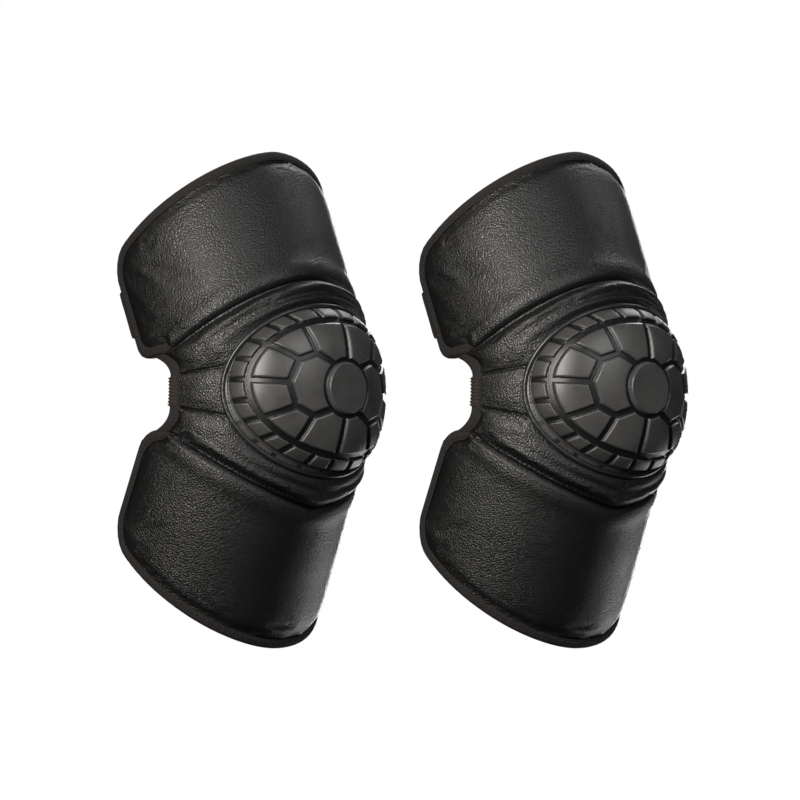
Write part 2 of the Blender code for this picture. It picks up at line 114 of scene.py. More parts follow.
CAP_CENTRE, CAP_WRAP, CAP_REACH = -0.002, 57.0, 0.0385
CAP_HEIGHT = 0.019
CAP_EDGE, GORE_START, PIPING_LINE = 0.955, 0.915, 0.974
PIPING_RADIUS = 0.0020
CAP_ROLL = math.radians(3.8)
DISC_RADIUS, DISC_PLANE = 0.0203, -0.1150

STRAPS = {"upper": dict(panel="thigh", centre=0.0715, tab=(80.0, 99.6), ease=0.011, lead=(-0.0030, -0.0310)),
          "lower": dict(panel="shin", centre=-0.0680, tab=(76.0, 95.4), ease=0.022, lead=(0.0035, -0.0290))}
STRAP_WIDTH, STRAP_BACK, STRAP_TURN = 0.040, -0.032, 0.012
STRAP_HALF = 0.0009

# ---- the leg surface
AXIS_S = np.linspace(-0.24, 0.24, 4801)


def running_sum(values):
    """Integral along the axis, zero at the knee centre."""
    steps = (values[1:] + values[:-1]) / 2 * np.diff(AXIS_S)
    total = np.concatenate([[0.0], np.cumsum(steps)])
    return total - total[len(total) // 2]


AXIS_LEAN = LEG_LEAN * np.tanh(AXIS_S / BEND_LENGTH)
AXIS_Y = running_sum(np.sin(AXIS_LEAN))
AXIS_Z = running_sum(np.cos(AXIS_LEAN))


def section(s):
    """Half width and half depth of the outer leather at s."""
    share = np.tanh(np.abs(s) / RADIUS_BLEND) ** 2
    return (KNEE_HALF_WIDTH + (LEG_RADIUS - KNEE_HALF_WIDTH) * share,
            KNEE_HALF_DEPTH + (LEG_RADIUS - KNEE_HALF_DEPTH) * share)


def local_point(x, forward, s):
    """Points given by x, distance forward of the leg axis, and s."""
    x, forward, s = np.broadcast_arrays(x, forward, s)
    lean = LEG_LEAN * np.tanh(s / BEND_LENGTH)
    y = np.interp(s, AXIS_S, AXIS_Y) - forward * np.cos(lean)
    z = np.interp(s, AXIS_S, AXIS_Z) + forward * np.sin(lean)
    return np.stack([x, y, z], axis=-1)


def surface(phi, s, off):
    half_width, half_depth = section(s)
    angle = np.radians(phi)
    return local_point((half_width + off) * np.sin(angle), (half_depth + off) * np.cos(angle), s)


def degrees_for(length):
    return np.degrees(length / LEG_RADIUS)


def smoothstep(low, high, value):
    t = np.clip((value - low) / (high - low), 0.0, 1.0)
    return t * t * (3.0 - 2.0 * t)


def edge_roll(distance, radius):
    """Drop of a rounded pillow edge at a distance in from it."""
    t = np.clip(1.0 - distance / radius, 0.0, 1.0)
    return radius * (np.sqrt(np.clip(1.0 - t * t, 0.0, 1.0)) - 1.0)


def wander(*phases):
    """Slow uneven waves between -1 and 1, for hand-sewn variation."""
    return sum(np.sin(p * (1.0 + 0.37 * k) + 1.7 * k) for k, p in enumerate(phases)) / len(phases)


def unit(vectors):
    return vectors / np.linalg.norm(vectors, axis=-1)[..., None]


def surface_normals(phi, s):
    """Outward unit normals of the leg surface."""
    return unit(surface(phi, s, 0.001) - surface(phi, s, 0.0))


def surface_uv(phi, s):
    return np.stack([np.radians(phi) * LEG_RADIUS, s], -1)


# ---- panel outlines, as in the CAD
def rounding(distance, radius):
    inside = np.clip(radius - distance, 0.0, radius)
    return radius - np.sqrt(radius ** 2 - inside ** 2)


def phi_end(panel, inset):
    return panel["wrap"] - degrees_for(inset)


def end_edge(panel, phi, inset):
    reach = panel["reach"] - panel["drop"] * (np.abs(phi) / 90.0) ** panel["drop_power"] - inset
    to_side = np.radians(phi_end(panel, inset) - np.abs(phi)) * LEG_RADIUS
    return panel["side"] * (reach - rounding(to_side, panel["corner"] - inset / 2))


def seam_edge(panel, phi):
    return panel["side"] * (panel["seam"] - panel["seam_drop"] * (np.abs(phi) / 90.0) ** panel["seam_power"])


def inner_edge(panel, phi, inset):
    """Edge of a panel nearest the knee: the seam, then the notch."""
    phi = np.abs(phi)
    along_seam = np.abs(seam_edge(panel, np.minimum(phi, NOTCH_START)))
    rise = panel["notch_rise"] * np.clip((phi - NOTCH_START) / (panel["wrap"] - NOTCH_START), 0.0, 1.0)
    to_side = np.radians(phi_end(panel, inset) - phi) * LEG_RADIUS
    corner = np.where(phi > NOTCH_START, rounding(to_side, panel["notch_corner"]), 0.0)
    taper = np.clip((phi - (NOTCH_START - NOTCH_TAPER)) / NOTCH_TAPER, 0.0, 1.0)
    return panel["side"] * (along_seam + rise + corner + inset * taper)


def spread(count, limit):
    """Angles from -limit to limit, closer together towards both ends."""
    u = np.linspace(-1.0, 1.0, count)
    return limit * (0.55 * u + 0.45 * np.sin(u * np.pi / 2))


# ---- mesh building
def grid_faces(rows, cols, wrap=False):
    r, c = np.meshgrid(np.arange(rows - 1), np.arange(cols if wrap else cols - 1), indexing="ij")
    d = (c + 1) % cols
    return np.stack([r * cols + c, r * cols + d, (r + 1) * cols + d, (r + 1) * cols + c], -1).reshape(-1, 4)


def shell_faces(rows, cols):
    """Faces of a closed shell: a front grid, a back grid and the wall round their rims."""
    front = grid_faces(rows, cols)
    base = rows * cols
    rim = list(range(cols)) + [r * cols + cols - 1 for r in range(1, rows)]
    rim += [(rows - 1) * cols + c for c in range(cols - 2, -1, -1)]
    rim += [r * cols for r in range(rows - 2, 0, -1)]
    a, b = np.array(rim), np.roll(rim, -1)
    return np.concatenate([front, front[:, ::-1] + base, np.stack([b, a, a + base, b + base], -1)])


def end_fans(rows, cols):
    """The two faces that close a tube of rings."""
    return [list(range(cols))[::-1], [(rows - 1) * cols + i for i in range(cols)]]


def signed_volume(points, quads):
    a, b, c, d = (points[quads[:, i]] for i in range(4))
    return (np.einsum("ij,ij->i", a, np.cross(b, c)) + np.einsum("ij,ij->i", a, np.cross(c, d))).sum()


STITCH_RADIUS, STITCH_SIDES, STITCH_RINGS = 0.00034, 6, 7


class Piece:
    """Points and faces of one object, gathered before it is made for both guards."""

    def __init__(self, *materials):
        self.materials = materials
        self.points, self.quads, self.fans, self.slots, self.uvs = [], [], [], [], []
        self.count = 0

    def add(self, points, quads, slot=0, uv=None, fans=()):
        points = np.asarray(points, float).reshape(-1, 3)
        uv = np.zeros((len(points), 2)) if uv is None else np.asarray(uv, float).reshape(-1, 2)
        if signed_volume(points, quads) < 0:
            quads = quads[:, ::-1]
            fans = [fan[::-1] for fan in fans]
        slots = np.broadcast_to(slot, len(quads))
        self.points.append(points)
        self.uvs.append(uv)
        self.quads.append(quads + self.count)
        self.slots.append(slots)
        self.fans += [([i + self.count for i in fan], int(slots[0])) for fan in fans]
        self.count += len(points)
        return self

    def shell(self, outer, inner, slot=0, uv=None):
        rows, cols = outer.shape[:2]
        points = np.concatenate([outer.reshape(-1, 3), inner.reshape(-1, 3)])
        uv = None if uv is None else np.concatenate([uv.reshape(-1, 2)] * 2)
        return self.add(points, shell_faces(rows, cols), slot, uv)

    def slab(self, phi, s, top, bottom, slot=0):
        """A shell between two heights over a grid of (phi, s)."""
        return self.shell(surface(phi, s, top), surface(phi, s, bottom), slot, surface_uv(phi, s))

    def stitch(self, phi, s, off, slot=1, flip=1.0, pitch=0.0036, length=0.0024):
        """Short raised threads along a line of (phi, s), diving in at both ends; flip -1 faces the leg."""
        path, normals = surface(phi, s, off), flip * surface_normals(phi, s)
        along = path_lengths(path)
        count = max(int(along[-1] / pitch), 1)
        centres = (np.arange(count) + 0.5) * along[-1] / count
        t = np.linspace(-1.0, 1.0, STITCH_RINGS)
        ring_radius = STITCH_RADIUS * np.sqrt(1.0 - (t * 0.97) ** 4)
        lift = STITCH_RADIUS * (1.15 - 1.5 * t ** 4)
        angle = np.arange(STITCH_SIDES) * 2 * np.pi / STITCH_SIDES
        local = np.stack([np.repeat(t * length / 2, STITCH_SIDES),
                          np.outer(ring_radius, np.cos(angle)).ravel(),
                          (np.outer(ring_radius, np.sin(angle)) + lift[:, None]).ravel()], -1)
        quads, caps = grid_faces(STITCH_RINGS, STITCH_SIDES, wrap=True), end_fans(STITCH_RINGS, STITCH_SIDES)

        def at(values, where):
            return np.stack([np.interp(where, along, values[:, k]) for k in range(3)], -1)

        tangents = unit(at(path, centres + pitch * 0.2) - at(path, centres - pitch * 0.2))
        across = unit(np.cross(at(normals, centres), tangents))
        ups = np.cross(tangents, across)
        for centre, tangent, side, up in zip(at(path, centres), tangents, across, ups):
            self.add(centre + local @ np.stack([tangent, side, up]), quads, slot, fans=caps)

    def make(self, name, centre):
        """The object, moved to its guard."""
        points = np.concatenate(self.points) + np.array(centre)
        quads = np.concatenate(self.quads).tolist()
        slots = np.concatenate(self.slots).tolist()
        mesh = bpy.data.meshes.new(name)
        mesh.from_pydata(points.tolist(), [], quads + [fan for fan, _ in self.fans])
        mesh.polygons.foreach_set("material_index", slots + [slot for _, slot in self.fans])
        corners = np.empty(len(mesh.loops), np.int32)
        mesh.loops.foreach_get("vertex_index", corners)
        mesh.uv_layers.new(name="UVMap").data.foreach_set("uv", np.concatenate(self.uvs)[corners].ravel())
        for material in self.materials:
            mesh.materials.append(material)
        mesh.shade_smooth()
        mesh.set_sharp_from_angle(angle=math.radians(60.0))
        obj = bpy.data.objects.new(name, mesh)
        bpy.context.collection.objects.link(obj)
        return obj


def path_lengths(points):
    return np.concatenate([[0.0], np.cumsum(np.linalg.norm(np.diff(points, axis=0), axis=1))])


# ---- cloth simulation
SIM_FRAMES, SIM_STEP = 18, 2                 # frames run, and grid points per simulated point
SLACK, PRESSURE = 0.006, 3.0
PANEL_SHIFT, GORE_SHIFT = 0.0012, 0.0007     # furthest the leather may move


def settle(outer, inner, most):
    """Inflates the leather of a padded shell, sewn down round its rim, and returns its new grid.

    The leather is cut a little larger than its foam, so the pressure leaves it softly uneven.
    """
    rows, cols = (np.unique(np.append(np.arange(0, n, SIM_STEP), n - 1)) for n in outer.shape[:2])
    front, back = outer[np.ix_(rows, cols)], inner[np.ix_(rows, cols)]
    shape = front.shape
    points = np.concatenate([front.reshape(-1, 3), back.reshape(-1, 3)])
    quads = shell_faces(*shape[:2])
    if signed_volume(points, quads) < 0:
        quads = quads[:, ::-1]
    mesh = bpy.data.meshes.new("settling")
    mesh.from_pydata(points.tolist(), [], quads.tolist())
    obj = bpy.data.objects.new("settling", mesh)
    bpy.context.collection.objects.link(obj)
    sewn = np.ones(shape[:2], bool)
    sewn[2:-2, 2:-2] = False
    pinned = np.concatenate([np.flatnonzero(sewn.ravel()), np.arange(front.size // 3, len(points))])
    obj.vertex_groups.new(name="sewn").add(pinned.tolist(), 1.0, "REPLACE")
    cloth = obj.modifiers.new("cloth", "CLOTH")
    cloth.collision_settings.use_collision = False
    cloth.point_cache.frame_end = SIM_FRAMES
    settings = cloth.settings
    settings.vertex_group_mass = "sewn"
    settings.quality, settings.mass, settings.air_damping = 6, 0.2, 4.0
    settings.tension_stiffness = settings.compression_stiffness = 20.0
    settings.bending_stiffness = 0.8
    settings.use_pressure, settings.uniform_pressure_force = True, PRESSURE
    settings.shrink_min = -SLACK
    settings.effector_weights.gravity = 0.0
    for frame in range(1, SIM_FRAMES + 1):
        bpy.context.scene.frame_set(frame)
    result = obj.evaluated_get(bpy.context.evaluated_depsgraph_get()).to_mesh()
    flat = np.empty(len(result.vertices) * 3)
    result.vertices.foreach_get("co", flat)
    moved = flat.reshape(-1, 3)[: front.size // 3].reshape(shape) - front
    bpy.data.objects.remove(obj, do_unlink=True)
    bpy.data.meshes.remove(mesh)
    bpy.context.scene.frame_set(1)
    size = np.linalg.norm(moved, axis=-1, keepdims=True)
    moved = np.nan_to_num(moved) * np.minimum(1.0, most / np.maximum(size, 1e-9))
    for axis, used in ((1, cols), (0, rows)):
        every = np.arange(outer.shape[axis])
        moved = np.apply_along_axis(lambda line: np.interp(every, used, line), axis, moved)
    return outer + moved


# ---- materials
class Tree:
    """Small helper for building a tree of nodes."""

    def __init__(self, tree):
        self.tree = tree

    def new(self, kind, inputs=None, **settings):
        node = self.tree.nodes.new(kind)
        for key, value in settings.items():
            setattr(node, key, value)
        for key, value in (inputs or {}).items():
            if isinstance(value, bpy.types.NodeSocket):
                self.tree.links.new(value, node.inputs[key])
            else:
                node.inputs[key].default_value = value
        return node


class Nodes(Tree):
    """A material with a Principled shader, and the nodes that feed it."""

    def __init__(self, name, colour, roughness, specular=0.5):
        self.material = bpy.data.materials.new(name)
        self.material.use_nodes = True
        self.material.diffuse_color = (*colour, 1.0)
        super().__init__(self.material.node_tree)
        self.shader = self.tree.nodes["Principled BSDF"]
        self.set("Base Color", (*colour, 1.0))
        self.set("Roughness", roughness)
        self.set("Specular IOR Level", specular)

    def set(self, socket, value):
        self.shader.inputs[socket].default_value = value

    def link(self, output, socket):
        self.tree.links.new(output, self.shader.inputs[socket])

    def place(self, source="Object"):
        """Texture coordinates in metres, from the object or from the mesh's own UV map."""
        return self.new("ShaderNodeTexCoord").outputs[source]

    def ramp(self, value, low, high, out_low=0.0, out_high=1.0):
        return self.new("ShaderNodeMapRange", {"Value": value, "From Min": low, "From Max": high,
                                               "To Min": out_low, "To Max": out_high}).outputs[0]

    def noise(self, vector, scale, detail=3.0, output=0):
        inputs = {"Vector": vector, "Scale": scale, "Detail": detail}
        return self.new("ShaderNodeTexNoise", inputs).outputs[output]

    def cells(self, vector, scale, feature="F1"):
        inputs = {"Vector": vector, "Scale": scale}
        return self.new("ShaderNodeTexVoronoi", inputs, feature=feature).outputs[0]

    def maths(self, operation, a, b=0.0):
        return self.new("ShaderNodeMath", {0: a, 1: b}, operation=operation).outputs[0]

    def mixed(self, first, second, share=1.0):
        """first plus a share of second."""
        return self.maths("ADD", first, self.maths("MULTIPLY", second, share))

    def bump(self, height, distance, after=None):
        inputs = {"Height": height, "Distance": distance}
        if after is not None:
            inputs["Normal"] = after
        return self.new("ShaderNodeBump", inputs).outputs[0]

    def colours(self, value, first, second):
        mix = self.new("ShaderNodeMix", {0: value}, data_type="RGBA")
        mix.inputs[6].default_value = (*first, 1.0)
        mix.inputs[7].default_value = (*second, 1.0)
        return mix.outputs[2]


PEBBLE, PEBBLE_DEPTH = 0.0017, 0.00025      # grain size of the leather and its relief
SHELL_BUMP, WEAVE_BUMP, FLEECE_BUMP = 0.00012, 0.00022, 0.0006


def leather_material():
    """Pebbled leather: small domed grains of uneven size, with creases between them; the creases' darker base
    colour is painted shade.
    """
    m = Nodes("pebbled_leather", (0.006, 0.006, 0.006), 0.34, specular=0.55)
    place = m.place()
    bend = m.noise(place, 240.0, 2.0, output=1)
    warped = m.new("ShaderNodeVectorMath", {0: bend, 1: (0.0012, 0.0012, 0.0012), 2: place},
                   operation="MULTIPLY_ADD").outputs[0]
    domes = m.ramp(m.cells(warped, 1.0 / PEBBLE), 0.05, 0.75, 1.0, 0.0)
    creases = m.ramp(m.cells(warped, 1.0 / PEBBLE, "DISTANCE_TO_EDGE"), 0.0, 0.16)
    height = m.maths("ADD", m.maths("MULTIPLY", domes, 0.8), m.maths("MULTIPLY", creases, 0.4))
    height = m.mixed(height, m.noise(place, 1500.0), 0.15)
    patches = m.noise(place, 30.0, 4.0)
    m.link(m.bump(height, PEBBLE_DEPTH, after=m.bump(patches, 0.0004)), "Normal")
    dull = m.ramp(creases, 0.0, 1.0, 0.25, 0.0)
    m.link(m.maths("ADD", m.ramp(patches, 0.3, 0.7, 0.29, 0.35), dull), "Roughness")
    # Base colour goes darker in the creases between the grains: painted shade.
    m.link(m.colours(creases, (0.0016, 0.0016, 0.0018), (0.0048, 0.0047, 0.0046)), "Base Color")
    return m.material


def cap_material(name, grain, roughness, tone):
    """Moulded rubber-like shell: satin, very fine texture, slightly paler rubbed patches."""
    m = Nodes(name, (tone, tone, tone * 1.02), roughness, specular=0.45)
    place = m.place()
    height = m.maths("MULTIPLY", m.noise(place, 2600.0, 2.0), 0.5)
    m.link(m.bump(m.mixed(height, m.noise(place, 900.0), grain), SHELL_BUMP), "Normal")
    rub = m.noise(place, 55.0, 4.0)
    m.link(m.ramp(rub, 0.35, 0.65, roughness - 0.05, roughness + 0.04), "Roughness")
    m.link(m.colours(m.ramp(rub, 0.3, 0.75), (tone * 0.85,) * 3, (tone * 1.2,) * 3), "Base Color")
    return m.material


def woven_material(name, dark, light, thread, roughness=0.8, ribs=0.0):
    """Woven tape: threads crossing at a pitch, in UV metres (u along the tape, v across it)."""
    m = Nodes(name, light, roughness, specular=0.25)
    split = m.new("ShaderNodeSeparateXYZ", {0: m.place("UV")}).outputs

    def wave(axis, pitch):
        return m.maths("SINE", m.maths("MULTIPLY", split[axis], 2 * math.pi / pitch))

    height = m.ramp(m.maths("MULTIPLY", wave(0, thread), wave(1, thread)), -1.0, 1.0)
    if ribs:
        height = m.maths("ADD", m.maths("MULTIPLY", height, 0.5), m.ramp(wave(1, ribs), -1.0, 1.0))
    height = m.mixed(height, m.noise(m.place(), 1800.0), 0.6)
    m.link(m.bump(height, WEAVE_BUMP), "Normal")
    m.link(m.colours(m.ramp(height, 0.2, 1.6), dark, light), "Base Color")
    return m.material


def fleece_material(name, dark, light, scale=520.0):
    """Soft tufts of fibre, with a little sheen."""
    m = Nodes(name, light, 0.95, specular=0.1)
    place = m.place()
    height = m.mixed(m.maths("SUBTRACT", 1.0, m.cells(place, scale)), m.noise(place, 1500.0, 4.0), 0.8)
    m.link(m.bump(height, FLEECE_BUMP), "Normal")
    m.link(m.colours(m.ramp(height, 0.4, 1.4), dark, light), "Base Color")
    m.set("Sheen Weight", 0.25)
    m.set("Sheen Roughness", 0.6)
    return m.material


def plain_material(name, colour, roughness, grain, specular=0.4):
    """Smooth piece with a fine broken-up surface."""
    m = Nodes(name, colour, roughness, specular=specular)
    place = m.place()
    m.link(m.bump(m.noise(place, 1400.0), grain), "Normal")
    darker, lighter = (tuple(c * share for c in colour) for share in (0.75, 1.25))
    m.link(m.colours(m.noise(place, 300.0), darker, lighter), "Base Color")
    return m.material


LEATHER = leather_material()
SHELL = cap_material("cap_shell_satin", 0.25, 0.30, 0.056)
SHELL_BLOCKS = cap_material("cap_shell_grained", 1.6, 0.38, 0.044)
# Near-black material for the deep parts of the cap's grooves: painted shade in the recesses.
SHELL_GROOVE_SHADE = cap_material("cap_shell_grooves", 0.6, 0.34, 0.007)
PIPING = plain_material("piping_leather", (0.016, 0.016, 0.0165), 0.30, 0.00006, 0.5)
THREAD = plain_material("sewing_thread", (0.012, 0.012, 0.012), 0.55, 0.0002)
BINDING = woven_material("woven_binding", (0.009, 0.0082, 0.0079), (0.036, 0.032, 0.031), 0.0007)
ELASTIC = woven_material("ribbed_elastic", (0.007, 0.006, 0.0055), (0.028, 0.0235, 0.0215), 0.0008,
                         ribs=0.0016)
GATHER = woven_material("gather_elastic", (0.012, 0.010, 0.009), (0.052, 0.043, 0.039), 0.0007)
HOOK = woven_material("hook_tape", (0.008, 0.008, 0.008), (0.026, 0.026, 0.027), 0.0012, roughness=0.6)
LOOP = fleece_material("loop_tape", (0.008, 0.008, 0.008), (0.030, 0.030, 0.031), 1100.0)
LINING = fleece_material("fleece_lining", (0.010, 0.010, 0.011), (0.042, 0.042, 0.044))
SPONGE = fleece_material("sponge", (0.03, 0.03, 0.031), (0.08, 0.08, 0.082), 1500.0)


# ---- thigh and shin panels
PINCH, SWELL, CREST, UNEVEN = 0.0022, 0.0006, 0.0012, 0.00035     # heights of the panels' relief
PANEL_INSET, PANEL_BACK = 0.0040, -0.0076    # under the binding, and down to the lining
LINING_OUT, LINING_IN = -0.0079, -0.0099


def panel_relief(panel, phi, s):
    """How far the leather stands off its nominal surface: rolled at the seam, pinched at the binding."""
    side = panel["side"]
    along = side * s
    to_seam = along - side * seam_edge(panel, np.clip(phi, -NOTCH_START, NOTCH_START))
    to_end = side * end_edge(panel, phi, BINDING_WIDTH) - along
    to_side = np.radians(phi_end(panel, BINDING_WIDTH) - np.abs(phi)) * LEG_RADIUS
    on_notch = smoothstep(NOTCH_START - 6.0, NOTCH_START, np.abs(phi))
    to_notch = along - side * inner_edge(panel, phi, BINDING_WIDTH)
    to_bound = np.minimum(np.minimum(to_end, to_side), np.where(on_notch > 0.5, to_notch, 1.0))
    pinch = -PINCH * (1.0 - smoothstep(-0.003, 0.009, to_bound))
    swell = SWELL * smoothstep(0.004, 0.016, to_bound) * (1.0 - smoothstep(0.02, 0.05, to_bound))
    roll = edge_roll(to_seam * 1.35, 0.0055) * (1.0 - on_notch)
    crest = CREST * np.exp(-((to_seam - 0.009) / 0.006) ** 2) * (1.0 - on_notch)
    return pinch + swell + roll + crest + UNEVEN * wander(phi * 0.11, s * 95.0, phi * 0.05 + s * 60.0)


def panel_grid(panel, inset, rows, cols):
    phi = spread(cols, phi_end(panel, inset))
    share = np.linspace(0.0, 1.0, rows)[:, None]
    share = 0.75 * share + 0.25 * np.sin(share * np.pi / 2) ** 2
    low, high = inner_edge(panel, phi, inset), end_edge(panel, phi, inset)
    s = low * (1.0 - share) + high * share
    return np.broadcast_to(phi, s.shape), s


def panel_piece(panel, rows=84, cols=190):
    phi, s = panel_grid(panel, PANEL_INSET, rows, cols)
    s = s + panel["side"] * 0.00015 * (1.0 - np.linspace(0.0, 1.0, rows)[:, None])
    outer, inner = surface(phi, s, panel_relief(panel, phi, s)), surface(phi, s, PANEL_BACK)
    return Piece(LEATHER).shell(settle(outer, inner, PANEL_SHIFT), inner, uv=surface_uv(phi, s))


def lining_piece(panel, rows=40, cols=96):
    phi, s = panel_grid(panel, PANEL_INSET, rows, cols)
    edge = np.minimum(np.arange(cols), np.arange(cols)[::-1])[None, :] / 6.0
    puff = 0.0003 * wander(phi * 0.16, s * 120.0) * np.clip(edge, 0.0, 1.0)
    return Piece(LINING).slab(phi, s, LINING_OUT, LINING_IN - puff)


TAPE_MIDDLE, TAPE_HALF = (BINDING_TOP + BINDING_BOTTOM) / 2, (BINDING_TOP - BINDING_BOTTOM) / 2
TAPE_SQUARENESS = 0.55       # 1 is a round fold, smaller is squarer
STITCH_SINK = 0.0007         # how far the binding's stitches sit below its faces


def wrap_section(points=15):
    """Cross-section of tape folded over an edge, as (share of width in from the edge, off)."""
    angle = np.pi * np.linspace(0.0, 1.0, points)
    inwards = 1.0 - np.abs(np.sin(angle)) ** TAPE_SQUARENESS
    face = np.sign(np.cos(angle))
    off = TAPE_MIDDLE + TAPE_HALF * face * np.abs(np.cos(angle)) ** TAPE_SQUARENESS
    return inwards, off - 0.0012 * inwards ** 2 * face


def tape_round_edge(outer, inner):
    """Bound edge: a closed tape wrapped over the strip between two curves of (phi, s)."""
    inwards, off = wrap_section()
    phi, s = (a[:, None] + (b - a)[:, None] * inwards for a, b in zip(outer, inner))
    along = path_lengths(surface(outer[0], outer[1], 0.0))
    waves = 0.00022 * wander(along * 900.0, along * 2300.0, along * 520.0)[:, None]
    points = surface(phi, s, off + waves * (0.4 + inwards))
    shrunk = surface(phi, s, TAPE_MIDDLE + 0.75 * (off - TAPE_MIDDLE))
    middle_phi, middle_s = ((grid[:, [0]] + grid[:, [-1]]) / 2 for grid in (phi, s))
    core = shrunk * 0.6 + surface(middle_phi, middle_s, off * 0.75) * 0.4
    steps = np.abs(np.diff(off)) + np.abs(np.diff(inwards)) * BINDING_WIDTH
    girth = np.concatenate([[0.0], np.cumsum(steps)])
    uv = np.stack(np.broadcast_arrays(along[:, None], girth[None, :]), -1)
    return Piece(BINDING, THREAD).shell(points, core, uv=uv)


def binding_piece(panel, samples=360):
    """Tape round a panel's free edge and its notch corner, with a line of stitches near its inner edge."""
    start = NOTCH_START - NOTCH_TAPER

    def outline(inset):
        last = phi_end(panel, inset)
        notch = start + (last - start) * np.sin(np.linspace(0.0, np.pi / 2, samples // 8))
        over = spread(samples, last)[::-1]
        side = inner_edge(panel, notch, inset)
        phi = np.concatenate([notch[:-1], over, -notch[-2::-1]])
        s = np.concatenate([side[:-1], end_edge(panel, over, inset), side[-2::-1]])
        return phi, s

    outer, inner = outline(0.0), outline(BINDING_WIDTH)
    lift = 0.0010 * panel["side"] * np.concatenate([[1.0], np.zeros(len(inner[1]) - 2), [1.0]])
    piece = tape_round_edge(outer, (inner[0], inner[1] + lift))
    line = [a + (b - a) * 0.72 for a, b in zip(outer, inner)]
    piece.stitch(*line, BINDING_TOP - STITCH_SINK)
    piece.stitch(*line, BINDING_BOTTOM + STITCH_SINK, flip=-1.0)
    return piece


# ---- knee
def rim(angle, factor):
    """Cap rim ellipse as (phi, s) at an angle in degrees from +X."""
    a = np.radians(angle)
    return CAP_WRAP * factor * np.cos(a), CAP_CENTRE + CAP_REACH * factor * np.sin(a)


# rolls across a gore, from the cap (0) to the seam (1): height, place and half width
ROLLS = {1: ((0.0052, 0.70, 0.15), (0.0034, 0.36, 0.13)), -1: ((0.0030, 0.36, 0.17), (0.0046, 0.72, 0.17))}
GORE_BASE, GORE_BACK, SEAM_GAP = 0.0004, -0.0012, 0.0002


def gore_relief(side, phi, share, edge):
    """Height of a gore: tucked under the cap, puffed in rolls, turned down at its seams."""
    front = np.cos(np.radians(np.clip(phi * 1.05, -90.0, 90.0)))
    rolls = sum(height * np.exp(-((share - place) / width) ** 2) for height, place, width in ROLLS[side])
    swell = 0.0026 * np.sin(np.pi * np.clip((share - 0.12) / 0.88, 0.0, 1.0))
    height = rolls * front ** 1.5 + swell * (1.0 - 0.5 * front)
    height = height + 0.0003 * wander(phi * 0.13, share * 5.0 + phi * 0.07) * np.sin(np.pi * share)
    height = height - 0.0045 * smoothstep(0.86, 1.0, share) ** 2 * (0.4 + 0.6 * front)
    return GORE_BASE + height * smoothstep(0.0, 0.010, edge) + edge_roll(edge, 0.0022)


def gore_piece(side, rows=60, cols=320):
    """Leather band between the cap and the thigh or shin seam, with the seam's stitches on it."""
    panel = PANELS["thigh" if side > 0 else "shin"]
    dart = DARTS[0] + SEAM_GAP if side > 0 else DARTS[1] - SEAM_GAP
    corner = float(seam_edge(panel, NOTCH_START)) - side * SEAM_GAP
    climb = np.linspace(dart, corner, cols // 8)
    seam_phi = np.linspace(KNEE_EDGE + float(notch_flare(corner)), 0.0, cols // 2 - cols // 8 + 1)[1:]
    half_phi = np.concatenate([KNEE_EDGE + notch_flare(climb), seam_phi])
    half_s = np.concatenate([climb, seam_edge(panel, np.minimum(seam_phi, NOTCH_START)) - side * SEAM_GAP])
    outer_phi = np.concatenate([half_phi, -half_phi[-2::-1]])
    outer_s = np.concatenate([half_s, half_s[-2::-1]])
    start = DART_ANGLES[side]
    inner_phi, inner_s = rim(np.linspace(start, side * 180.0 - start, len(outer_phi)), GORE_START)
    share = np.linspace(0.0, 1.0, rows)[:, None]
    phi = inner_phi + (outer_phi - inner_phi) * share
    s = inner_s + (outer_s - inner_s) * share
    lengths = path_lengths(surface(outer_phi, outer_s, 0.0))
    edge = np.minimum(lengths, lengths[-1] - lengths)[None, :] * (0.35 + 0.65 * share)
    off = gore_relief(side, phi, share, edge)
    outer, inner = surface(phi, s, off), surface(phi, s, GORE_BACK)
    piece = Piece(LEATHER, THREAD).shell(settle(outer, inner, GORE_SHIFT), inner, uv=surface_uv(phi, s))
    seam_row, seam_columns = int(rows * 0.90), np.flatnonzero(np.abs(outer_phi) < KNEE_EDGE - 1.0)
    dart_rows = slice(int(rows * 0.2), rows)
    for line, sizes in (((seam_row, seam_columns), dict(pitch=0.0040, length=0.0027)),
                        ((dart_rows, 4), {}), ((dart_rows, -5), {})):
        piece.stitch(phi[line], s[line], off[line] + 0.0001, **sizes)
    return piece


def side_gore_piece(side, rows=34, cols=44):
    """Small gore between the two darts, beside the cap."""
    outer_s = np.linspace(DARTS[1] + SEAM_GAP, DARTS[0] - SEAM_GAP, cols)
    inner_phi, inner_s = rim(np.linspace(DART_ANGLES[-1], DART_ANGLES[1], cols), GORE_START)
    share = np.linspace(0.0, 1.0, rows)[:, None]
    phi = inner_phi + (KNEE_EDGE - inner_phi) * share
    s = inner_s + (outer_s - inner_s) * share
    edge = np.minimum(s - s[:, [0]], s[:, [-1]] - s)
    puff = 0.0016 * smoothstep(0.0, 0.008, edge) * np.sin(np.pi * np.clip(share * 1.1 - 0.1, 0, 1))
    return Piece(LEATHER).slab(side * phi, s, GORE_BASE + puff + edge_roll(edge, 0.0020), GORE_BACK)


def notch_flare(s):
    """How far the notch's edge curves out to meet the panels' corners, in degrees."""
    limit = np.where(s > NOTCH_MIDDLE, NOTCH_FLARE[1], NOTCH_FLARE[-1])
    return limit * np.clip((np.abs(s - NOTCH_MIDDLE) - 0.0120) / 0.0160, 0.0, 1.0) ** 2


def notch_piece(side, samples=120):
    """Tape over the edge of a side notch."""
    s = np.linspace(*NOTCH_BAND, samples)
    flare = notch_flare(s)
    piece = tape_round_edge((side * (NOTCH_EDGE + flare), s), (side * (KNEE_EDGE - 0.7 + flare), s))
    piece.stitch(side * (KNEE_EDGE + 1.0 + flare), s, BINDING_TOP - STITCH_SINK)
    return piece


